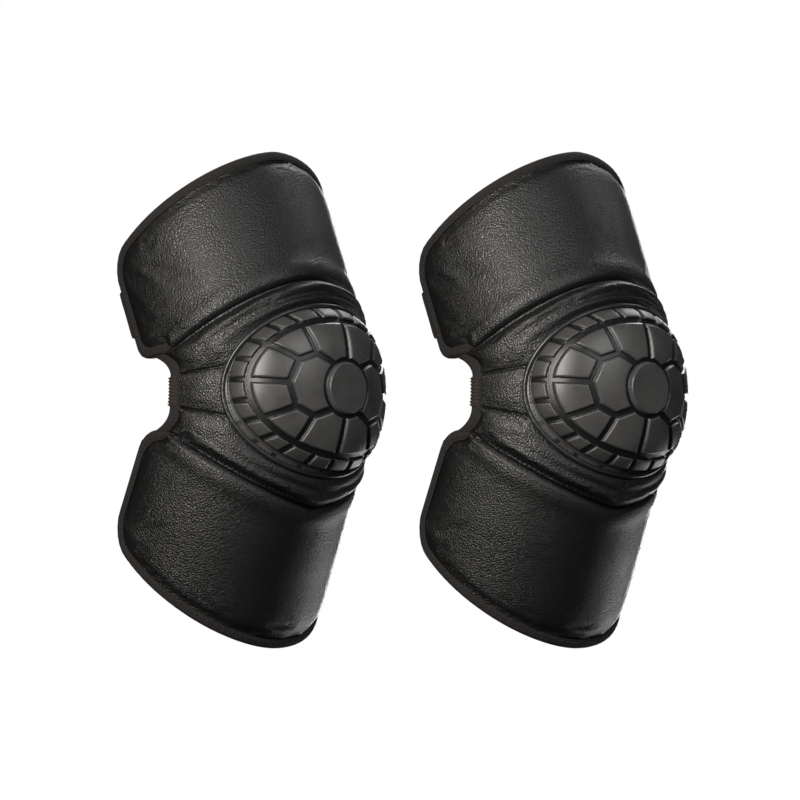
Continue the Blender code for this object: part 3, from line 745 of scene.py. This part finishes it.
def gather_piece(side, ribs=9, samples=180):
    """Ribbed elastic gathered over the middle of a notch's edge."""
    low, high = GATHER_BAND
    s = np.linspace(low, high, samples)
    rib = np.abs(np.sin(np.pi * ribs * (s - low) / (high - low))) ** 0.7
    ends = smoothstep(0.0, 0.0012, np.minimum(s - low, high - s))
    swell = ((0.0005 + 0.0009 * rib) * ends)[:, None]
    inwards, off = wrap_section(19)
    phi = NOTCH_EDGE + degrees_for(swell) - (NOTCH_EDGE - KNEE_EDGE) * 0.92 * inwards
    points = surface(side * phi, s[:, None], TAPE_MIDDLE + (off - TAPE_MIDDLE) * (1.0 + swell / TAPE_HALF))
    core = surface(side * (phi - 0.35 * (1.0 - inwards)), s[:, None], TAPE_MIDDLE + (off - TAPE_MIDDLE) * 0.9)
    uv = np.stack(np.broadcast_arrays(s[:, None], inwards[None, :] * 0.01), -1)
    return Piece(GATHER).shell(points, core, uv=uv)


# ---- cap
PLATE_SCALE = (100.0, 72.0)      # mm across the shell's face per unit of the rim ellipse
DISC_CENTRE = 1.8                # mm, along the shell's face
RING_LINE, RING_WIDTH = 19.9, 3.8
GROOVE_WIDTH, GROOVE_DEPTH = 5.5, 0.0024
BLOCK_GAP = 5.4
BAND_LINE, BAND_WIDTH = (77.5, 51.5), 6.4
BLOCKS_END, PAST_BLOCKS = (91.5, 65.0), (104.0, 80.0)
FLANGE, FLANGE_RISE = 0.0026, 0.0004         # height of the cap's thin sewn border
SHELL_THICKNESS, PAD_GAP = 0.0047, 0.0058    # below the dome, to the shell's and the pad's faces
SIDE_PLATE = [(-13.0, 16.0), (-27.0, 22.6), (-41.0, 17.2), (-48.0, 0.0), (-41.0, -17.2), (-27.0, -22.6),
              (-13.0, -16.0)]
SPOKES = {90.0: (0.0, 19.6), 128.0: (-27.0, 22.6), 155.0: (-41.0, 17.2), 180.0: (-48.0, 0.0)}


def on_ellipse(axes, angle):
    a = math.radians(angle)
    reach = 1.0 / math.sqrt((math.cos(a) / axes[0]) ** 2 + (math.sin(a) / axes[1]) ** 2)
    return reach * math.cos(a), reach * math.sin(a)


def groove_lines():
    """Straight grooves inside the band: both side plates' outlines and the spokes out to the band."""
    lines = list(zip(SIDE_PLATE, SIDE_PLATE[1:]))
    for angle, start in SPOKES.items():
        end = on_ellipse(BAND_LINE, angle)
        lines.append((start, end))
        if angle < 180.0:
            lines.append(((start[0], -start[1]), (end[0], -end[1])))
    return lines + [((-a[0], a[1]), (-b[0], b[1])) for a, b in lines]


def block_angles():
    """Directions of the gaps between the outer blocks: at each spoke and midway between spokes."""
    spokes = sorted(SPOKES)
    quarter = spokes + [(a + b) / 2 for a, b in zip(spokes, spokes[1:])]
    angles = set()
    for a in quarter:
        angles |= {a % 360, (-a) % 360, (180 - a) % 360, (180 + a) % 360}
    return sorted(angles)


def line_distance(px, py, a, b):
    dx, dy = b[0] - a[0], b[1] - a[1]
    t = np.clip(((px - a[0]) * dx + (py - a[1]) * dy) / (dx * dx + dy * dy), 0.0, 1.0)
    return np.hypot(px - a[0] - t * dx, py - a[1] - t * dy)


def groove(distance, width):
    """1 at the bottom of a groove, 0 on the plates beside it: a steep wall under a softer shoulder."""
    wall = 1.0 - smoothstep(width / 2 - 1.0, width / 2, distance)
    shoulder = 1.0 - smoothstep(width / 2 - 0.4, width / 2 + 1.1, distance)
    return 0.78 * wall + 0.22 * shoulder


def cap_relief(u, v):
    """Depth of the moulded pattern, distance past the blocks (mm), and each point's material; the grooves'
    near-black material is painted shade.
    """
    turn_x = u * PLATE_SCALE[0]
    turn_y = v * PLATE_SCALE[1] - DISC_CENTRE
    px = turn_x * math.cos(CAP_ROLL) - turn_y * math.sin(CAP_ROLL)
    py = turn_x * math.sin(CAP_ROLL) + turn_y * math.cos(CAP_ROLL)
    from_centre = np.hypot(px, py)

    def beyond(axes):
        reach = np.hypot(px / axes[0], py / axes[1])
        return (reach - 1.0) * from_centre / np.maximum(reach, 1e-6)

    def carved(lines, width):
        return np.max([groove(line_distance(px, py, a, b), width) for a, b in lines], axis=0)

    band, past = beyond(BAND_LINE), beyond(BLOCKS_END)
    plates = carved(groove_lines(), GROOVE_WIDTH) * (band < 0)
    ring = groove(np.abs(from_centre - RING_LINE), RING_WIDTH)
    plates = np.where(from_centre < RING_LINE, ring, np.maximum(plates, ring))
    gaps = [((0.0, 0.0), on_ellipse(PAST_BLOCKS, angle)) for angle in block_angles()]
    blocks = 0.85 * carved(gaps, BLOCK_GAP) * (band > 0)
    depth = GROOVE_DEPTH * np.maximum(np.maximum(groove(np.abs(band), BAND_WIDTH), plates), blocks)
    sort = np.where((band > BAND_WIDTH * 0.5) & (past < 0.5), 1, 0)
    # Slot 2, deep in the grooves, takes the near-black groove material: painted shade.
    return depth, past, np.where(depth > 0.6 * GROOVE_DEPTH, 2, sort)


def dome_height(factor):
    return CAP_HEIGHT * (1.0 - np.minimum(factor, 1.0) ** 4) ** 0.8


def on_cap(factor, angle, height):
    """Points at shares of the cap's rim ellipse."""
    return surface(CAP_WRAP * factor * np.cos(angle), CAP_CENTRE + CAP_REACH * factor * np.sin(angle), height)


def cap_points(factor, angle):
    """Outer face of the shell at a share of its rim and an angle, with its pattern."""
    depth, past, sort = cap_relief(factor * np.cos(angle), factor * np.sin(angle))
    height = dome_height(factor) - depth
    flange = FLANGE + FLANGE_RISE * smoothstep(0.5, 3.0, past)
    points = on_cap(factor, angle, height + (flange - height) * smoothstep(-0.9, 1.2, past))
    from_axis = np.hypot(points[..., 0], points[..., 2] - CAP_CENTRE)
    flat = 1.0 - smoothstep(DISC_RADIUS - 0.0016, DISC_RADIUS - 0.0004, from_axis)
    points[..., 1] += (DISC_PLANE - points[..., 1]) * flat
    return points, sort


def cap_piece(rings=210, segments=780):
    factor = np.linspace(0.02, CAP_EDGE, rings)[:, None]
    angle = np.linspace(0.0, 2 * np.pi, segments, endpoint=False)[None, :]
    outer, sort = cap_points(factor, angle)
    under_factor = np.linspace(0.92, 0.03, 24)[:, None]
    under = on_cap(under_factor, angle, dome_height(under_factor) - SHELL_THICKNESS)
    points = np.concatenate([outer, on_cap(CAP_EDGE, angle, 0.0012), under])
    faces = grid_faces(len(points), segments, wrap=True)
    slots = np.zeros(len(faces), np.int32)
    slots[: (rings - 1) * segments] = sort[:-1].ravel()
    piece = Piece(SHELL, SHELL_BLOCKS, SHELL_GROOVE_SHADE, THREAD)
    piece.add(points, faces, slots, fans=end_fans(len(points), segments))
    line = rim(np.linspace(0.0, 360.0, 721), 0.937)
    piece.stitch(*line, 0.0028, slot=3, pitch=0.0033, length=0.0021)
    return piece


def pad_piece(rings=22, segments=96):
    """Foam in the hollow under the shell."""
    angle = np.linspace(0.0, 2 * np.pi, segments, endpoint=False)[None, :]
    factor = np.concatenate([np.linspace(0.03, 0.895, rings), np.linspace(0.895, 0.03, rings // 2)])[:, None]
    top = np.arange(len(factor))[:, None] < rings
    points = on_cap(factor, angle, np.where(top, dome_height(factor) - PAD_GAP, -0.0006))
    quads = grid_faces(len(factor), segments, wrap=True)
    return Piece(SPONGE).add(points, quads, fans=end_fans(len(factor), segments))


def piping_piece(samples=300, sides=14):
    """Round bead along the cap's rim, closed on itself."""
    turn = np.linspace(0.0, 360.0, samples, endpoint=False)
    phi, s = rim(turn, PIPING_LINE)
    height = PIPING_RADIUS + 0.0010 + 0.00012 * wander(np.radians(turn) * 23.0, np.radians(turn) * 51.0)
    path = surface(phi, s, height)
    tangents = unit(np.roll(path, -1, axis=0) - np.roll(path, 1, axis=0))
    across = unit(np.cross(surface_normals(phi, s), tangents))
    ups = np.cross(tangents, across)
    angle = np.linspace(0.0, 2 * np.pi, sides, endpoint=False)[None, :, None]
    points = path[:, None] + PIPING_RADIUS * (np.cos(angle) * across[:, None] + np.sin(angle) * ups[:, None])
    return Piece(PIPING).add(points, grid_faces(samples + 1, sides, wrap=True) % (samples * sides))


def knee_lining_piece(side, rows=26, cols=84):
    """Half of the knee's fleece, from its middle to one seam."""
    panel = PANELS["thigh" if side > 0 else "shin"]
    phi = np.linspace(-KNEE_EDGE, KNEE_EDGE, cols)
    share = np.linspace(0.0, 1.0, rows)[:, None]
    s = 0.0002 * side + (seam_edge(panel, phi) - side * 0.0004) * share
    phi = np.broadcast_to(phi, s.shape)
    puff = 0.0004 * wander(phi * 0.16, s * 120.0)
    return Piece(LINING).slab(phi, s, LINING_OUT, LINING_IN - puff)


# ---- straps
TAB_OFF = 0.0039             # height of the tab's middle, where the band turns onto the leather
SEWN_OFF = -0.0123           # height of the band where it is sewn in, under the lining


def strap_frame(strap):
    half_width, half_depth = (float(half) for half in section(strap["centre"]))
    wrap = math.radians(PANELS[strap["panel"]]["wrap"])
    turn_x = (half_width + TAB_OFF) * math.sin(wrap) - STRAP_TURN
    hinge_x = -half_width * math.sin(wrap) + 0.0005
    return turn_x, hinge_x, half_width, half_depth, wrap


def strap_route(strap):
    """Middle line of the band as (x, forward): from inside the sewn edge, behind the leg, to the tab."""
    turn_x, hinge_x, half_width, half_depth, wrap = strap_frame(strap)
    inside = -np.linspace(wrap - math.radians(20.0), wrap - math.radians(1.0), 14)
    sewn = np.stack([(half_width + SEWN_OFF) * np.sin(inside), (half_depth + SEWN_OFF) * np.cos(inside)], -1)
    start, end = sewn[-1], np.array([hinge_x + strap["ease"], STRAP_BACK])
    lead = np.array([start[0] + strap["lead"][0], strap["lead"][1]])
    t = np.linspace(0.0, 1.0, 10)[1:-1, None]
    out = (1 - t) ** 2 * start + 2 * t * (1 - t) * lead + t * t * end
    back = np.linspace(end[0], turn_x, 40)
    bow = 0.0012 * np.sin(np.pi * (back - back[0]) / (back[-1] - back[0]))
    turn = np.radians(np.linspace(-84.0, -12.0, 14))
    onto = np.stack([turn_x + STRAP_TURN * np.cos(turn), STRAP_BACK + STRAP_TURN * (1.0 + np.sin(turn))], -1)
    return np.concatenate([sewn, out, np.stack([back, STRAP_BACK - bow], -1), onto])


def strap_piece(strap, across=26):
    """Elastic band of even thickness, its long edges slightly waved and thinner."""
    route = strap_route(strap)
    tangent = unit(np.gradient(route, axis=0))
    out = np.stack([tangent[:, 1], -tangent[:, 0]], -1)
    along = path_lengths(route)
    w = np.linspace(-1.0, 1.0, across)[:, None]
    s = strap["centre"] + w * (STRAP_WIDTH / 2 - 0.0004 + 0.0002 * np.sin(along * 700.0))
    half = STRAP_HALF * (1.0 - 0.45 * np.abs(w) ** 8)
    grids = [local_point(*(route[:, k] + sign * half * out[:, k] for k in (0, 1)), s) for sign in (1, -1)]
    uv = np.stack(np.broadcast_arrays(along[None, :], w * STRAP_WIDTH / 2), -1)
    return Piece(ELASTIC).shell(grids[0], grids[1], uv=uv)


def rounded_patch(phis, levels, corner, rows=40, cols=40):
    """Grid of (phi, s) filling a rectangle with rounded corners."""
    u = np.linspace(-1.0, 1.0, cols)[None, :]
    v = np.linspace(-1.0, 1.0, rows)[:, None]
    half_phi, half_s = (phis[1] - phis[0]) / 2, (levels[1] - levels[0]) / 2
    half_x = math.radians(half_phi) * LEG_RADIUS
    keep = 1.0 - rounding((1.0 - np.abs(v)) * half_s, corner) / half_x
    phi = (phis[0] + phis[1]) / 2 + half_phi * u * keep
    s = (levels[0] + levels[1]) / 2 + half_s * v + 0 * u
    edge = np.minimum((1.0 - np.abs(u)) * half_x * keep, (1.0 - np.abs(v)) * half_s)
    return phi, s, edge


def border_path(phi, s, inset):
    """Loop round a patch, in from its edge by a share of its half size."""
    ring = np.concatenate([np.stack([phi[0], s[0]], -1), np.stack([phi[1:, -1], s[1:, -1]], -1),
                           np.stack([phi[-1, -2::-1], s[-1, -2::-1]], -1),
                           np.stack([phi[-2::-1, 0], s[-2::-1, 0]], -1)])
    middle = np.array([phi.mean(), s.mean()])
    return (middle + (ring - middle) * (1.0 - inset)).T


def tab_piece(strap):
    """Free end of the strap: a stiff tab with hook tape beneath and a sewn border."""
    first, last = strap["tab"]
    low, high = strap["centre"] - STRAP_WIDTH / 2, strap["centre"] + STRAP_WIDTH / 2
    phi, s, edge = rounded_patch((first, last + 1.2), (low, high), 0.006)
    top = 0.0049 + 0.0004 * smoothstep(0.0, 0.006, edge) + edge_roll(edge, 0.0010) * 0.8
    hook_phi, hook_s, _ = rounded_patch((first + 0.8, last - 0.6), (low + 0.0015, high - 0.0015), 0.005)
    piece = Piece(ELASTIC, THREAD, HOOK).slab(phi, s, top, 0.0029)
    piece.slab(hook_phi, hook_s, 0.0028, 0.0016, slot=2)
    piece.stitch(*border_path(phi, s, 0.12), 0.0052)
    return piece


def patch_piece(strap):
    """Loop tape sewn to the leather where the tab closes."""
    first, last = strap["tab"]
    levels = (strap["centre"] - STRAP_WIDTH / 2, strap["centre"] + STRAP_WIDTH / 2)
    phi, s, edge = rounded_patch((first - 1.5, last - 5.0), levels, 0.004)
    piece = Piece(LOOP, THREAD).slab(phi, s, 0.0013 + edge_roll(edge, 0.0008), 0.0002)
    piece.stitch(*border_path(phi, s, 0.08), 0.0012)
    return piece


# ---- assembly
GORE_BEND, LINING_BEND = 0.012, 0.022        # how far from a seam joint_line sets its first point


def joint_line(side, cover):
    """Two points across the plane of a seam, the second on the seam."""
    panel = PANELS["thigh" if side > 0 else "shin"]
    phi = np.linspace(0.0, NOTCH_START, 40)
    seam = surface(phi, seam_edge(panel, phi), 0.0)
    fold = seam[0] - seam[-1]
    normal = side * np.array([0.0, -fold[2], fold[1]]) * np.sign(fold[1])
    normal /= np.linalg.norm(normal)
    end = (seam @ normal).min() - 0.0008
    return normal * (end - cover), normal * end


SHAPES = {"cap_plates": cap_piece(), "cap_foam": pad_piece(), "cap_bead": piping_piece()}
for name, panel in PANELS.items():
    SHAPES |= {f"{name}_panel": panel_piece(panel), f"{name}_fleece": lining_piece(panel),
               f"{name}_edge_tape": binding_piece(panel)}
for name, side in (("upper", 1), ("lower", -1)):
    strap = STRAPS[name]
    SHAPES |= {f"{name}_gore_roll": gore_piece(side), f"knee_fleece_{name}": knee_lining_piece(side),
               f"{name}_band": strap_piece(strap), f"{name}_tab": tab_piece(strap),
               f"{name}_patch": patch_piece(strap)}
for label, side in (("hook_side", 1), ("sewn_side", -1)):
    SHAPES |= {f"{label}_gore_panel": side_gore_piece(side), f"{label}_notch_tape": notch_piece(side),
               f"{label}_ribs": gather_piece(side)}


def build_guard(guard, centre):
    def put(shape, slot, body, *nodes, padded=None):
        """One of the shapes on this guard, riding on a body unless it is None."""
        obj = SHAPES[shape].make(f"{guard}_{shape}", centre)
        LIT[guard].objects.link(obj)
        if nodes:
            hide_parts(*[f"{guard}_{node}" for node in nodes])
        if body:
            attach(obj, body)
        return obj

    def bend(obj, first, second, start, end):
        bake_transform(obj)

    for name, panel in PANELS.items():
        body = f"{guard}_{name}"
        put(f"{name}_panel", "leather", body, f"{name}_leather", f"{name}_foam", padded=0.8)
        put(f"{name}_fleece", "lining", body, f"{name}_lining", padded=0.5)
        put(f"{name}_edge_tape", "binding_tape", body, f"{name}_binding")
        level = panel["strap"]
        strap = STRAPS[level]
        put(f"{level}_patch", "loop_tape", body, f"{level}_loop_patch")
        band = put(f"{level}_band", "elastic", None, f"{level}_strap", f"{level}_strap_anchor")
        _, _, half_width, half_depth, wrap = strap_frame(strap)
        corner_x, corner_forward = -half_width * math.sin(wrap), half_depth * math.cos(wrap)
        bend(band, body, f"{guard}_{level}_strap",
             local_point(corner_x, corner_forward - 0.0015, strap["centre"]),
             local_point(corner_x + 0.0045, corner_forward - 0.0140, strap["centre"]))
        put(f"{level}_tab", "hook_tape", f"{guard}_{level}_tab", f"{level}_hook_tab")

    seams = ((1, "upper", f"{guard}_thigh"), (-1, "lower", f"{guard}_shin"))
    for side, level, body in seams:
        nodes = (f"{level}_gore", "knee_foam")[: 2 if side > 0 else 1]
        gore = put(f"{level}_gore_roll", "leather", None, *nodes, padded=0.7)
        bend(gore, "knees", body, *joint_line(side, GORE_BEND))
    for side, level, body in seams:
        nodes = ("knee_lining",) if side > 0 else ()
        fleece = put(f"knee_fleece_{level}", "lining", None, *nodes, padded=0.5)
        bend(fleece, "knees", body, *joint_line(side, LINING_BEND))
    for label in ("hook_side", "sewn_side"):
        put(f"{label}_gore_panel", "leather", "knees", f"{label}_gore", padded=0.7)
        put(f"{label}_notch_tape", "binding_tape", "knees", f"{label}_notch_binding")
        put(f"{label}_ribs", "elastic", "knees", f"{label}_gather")
    put("cap_plates", "cap_shell", "knees", "knee_cap")
    put("cap_foam", "sponge_foam", "knees", "cap_pad", padded=0.9)
    put("cap_bead", "piping", "knees", "cap_piping")


LIT = {guard: bpy.data.collections.new(f"{guard}_lit") for guard in GUARDS}      # what its lights reach
for guard, centre in GUARDS.items():
    build_guard(guard, centre)


# ---- camera, light and floor
AZIMUTH, ELEVATION = -44.0, -4.0
ROOM_LIGHT = 0.025
FLOOR_FADE = (0.35, 1.1)                     # the floor fades out between these distances
VIEW_WIDTH = 0.608
AIM_RIGHT, AIM_UP = 0.0038, -0.0053          # from the middle of the two knee centres
MIDDLE = Vector(np.mean(list(GUARDS.values()), axis=0))


def direction(azimuth, elevation):
    """Unit vector towards a place seen from the guards; azimuth 0 is in front of them, and -X is negative."""
    a, e = math.radians(azimuth), math.radians(elevation)
    return Vector((math.sin(a) * math.cos(e), -math.cos(a) * math.cos(e), math.sin(e)))


def face(obj, back):
    obj.rotation_mode = "QUATERNION"
    obj.rotation_quaternion = (-back).to_track_quat("-Z", "Y")
    bpy.context.collection.objects.link(obj)


def make_camera():
    back = direction(AZIMUTH, ELEVATION)
    right = direction(AZIMUTH + 90.0, 0.0)
    data = bpy.data.cameras.new("photo_camera")
    data.type = "ORTHO"
    data.ortho_scale = VIEW_WIDTH
    camera = bpy.data.objects.new("photo_camera", data)
    camera.location = MIDDLE + right * AIM_RIGHT + back.cross(right) * AIM_UP + back * 1.5
    face(camera, back)
    bpy.context.scene.camera = camera


def area_light(guard, name, azimuth, elevation, distance, width, height, power, colour):
    """Soft box facing one guard, that lights only that guard and the floor.

    The guards hang side by side, and each has its own lights, so neither stands in the other's shade.
    """
    back = direction(azimuth, elevation)
    data = bpy.data.lights.new(f"{guard}_{name}", "AREA")
    data.shape = "RECTANGLE"
    data.size, data.size_y = width, height
    data.energy = power
    data.color = colour
    light = bpy.data.objects.new(f"{guard}_{name}", data)
    light.location = Vector(GUARDS[guard]) + back * distance
    light.light_linking.receiver_collection = LIT[guard]
    light.light_linking.blocker_collection = LIT[guard]
    face(light, back)


def make_world():
    """White to the camera, a dim grey to everything else, so that the studio lights shape the leather."""
    world = bpy.data.worlds.new("studio")
    world.use_nodes = True
    world.node_tree.nodes.clear()
    tree = Tree(world.node_tree)
    white = (1.0, 1.0, 1.0, 1.0)
    lit, seen = (tree.new("ShaderNodeBackground", {"Color": white, "Strength": strength}).outputs[0]
                 for strength in (ROOM_LIGHT, 1.0))
    camera = tree.new("ShaderNodeLightPath").outputs["Is Camera Ray"]
    mix = tree.new("ShaderNodeMixShader", {0: camera, 1: lit, 2: seen}).outputs[0]
    tree.new("ShaderNodeOutputWorld", {0: mix})
    bpy.context.scene.world = world


def make_floor():
    """Pale floor under the guards, fading out round them and clear from below, where the camera is.

    It takes the guards' shadows, and throws no light back up at them.
    """
    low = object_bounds()[0][2] - 0.004
    mesh = bpy.data.meshes.new("floor")
    half = FLOOR_FADE[1]
    mesh.from_pydata([(-half, -half, 0.0), (half, -half, 0.0), (half, half, 0.0), (-half, half, 0.0)], [],
                     [(0, 1, 2, 3)])
    floor = bpy.data.objects.new("floor", mesh)
    floor.location = (MIDDLE.x, MIDDLE.y, low)
    bpy.context.collection.objects.link(floor)
    m = Nodes("pale_floor", (0.85, 0.85, 0.85), 0.9, specular=0.1)
    away = m.new("ShaderNodeVectorMath", {0: m.place()}, operation="LENGTH").outputs["Value"]
    fade = m.new("ShaderNodeMapRange", {"Value": away, "From Min": FLOOR_FADE[0], "From Max": FLOOR_FADE[1]},
                 interpolation_type="SMOOTHSTEP").outputs[0]
    behind = m.new("ShaderNodeNewGeometry").outputs["Backfacing"]
    clear = m.new("ShaderNodeBsdfTransparent").outputs[0]
    unseen = m.maths("SUBTRACT", 1.0, m.new("ShaderNodeLightPath").outputs["Is Camera Ray"])
    gone = m.maths("MAXIMUM", m.maths("MAXIMUM", fade, behind), unseen)
    mix = m.new("ShaderNodeMixShader", {0: gone, 1: m.shader.outputs[0], 2: clear})
    m.tree.links.new(mix.outputs[0], m.tree.nodes["Material Output"].inputs[0])
    mesh.materials.append(m.material)
    for group in LIT.values():
        group.objects.link(floor)


make_camera()
make_world()
make_floor()
for guard in GUARDS:
    area_light(guard, "key", -67.0, 18.0, 1.3, 0.50, 0.90, 23.0, (1.0, 0.96, 0.91))
    area_light(guard, "front", -8.0, 26.0, 1.6, 0.9, 0.9, 7.5, (1.0, 1.0, 1.0))
    area_light(guard, "below", 98.0, -24.0, 1.3, 0.5, 0.5, 2.8, (0.97, 0.98, 1.0))
    area_light(guard, "rim_low", 126.0, 4.0, 1.1, 0.14, 1.2, 9.0, (0.92, 0.96, 1.0))
    area_light(guard, "rim_high", 108.0, 48.0, 1.1, 0.5, 0.35, 5.5, (0.95, 0.97, 1.0))
bpy.context.scene.view_settings.view_transform = "Standard"
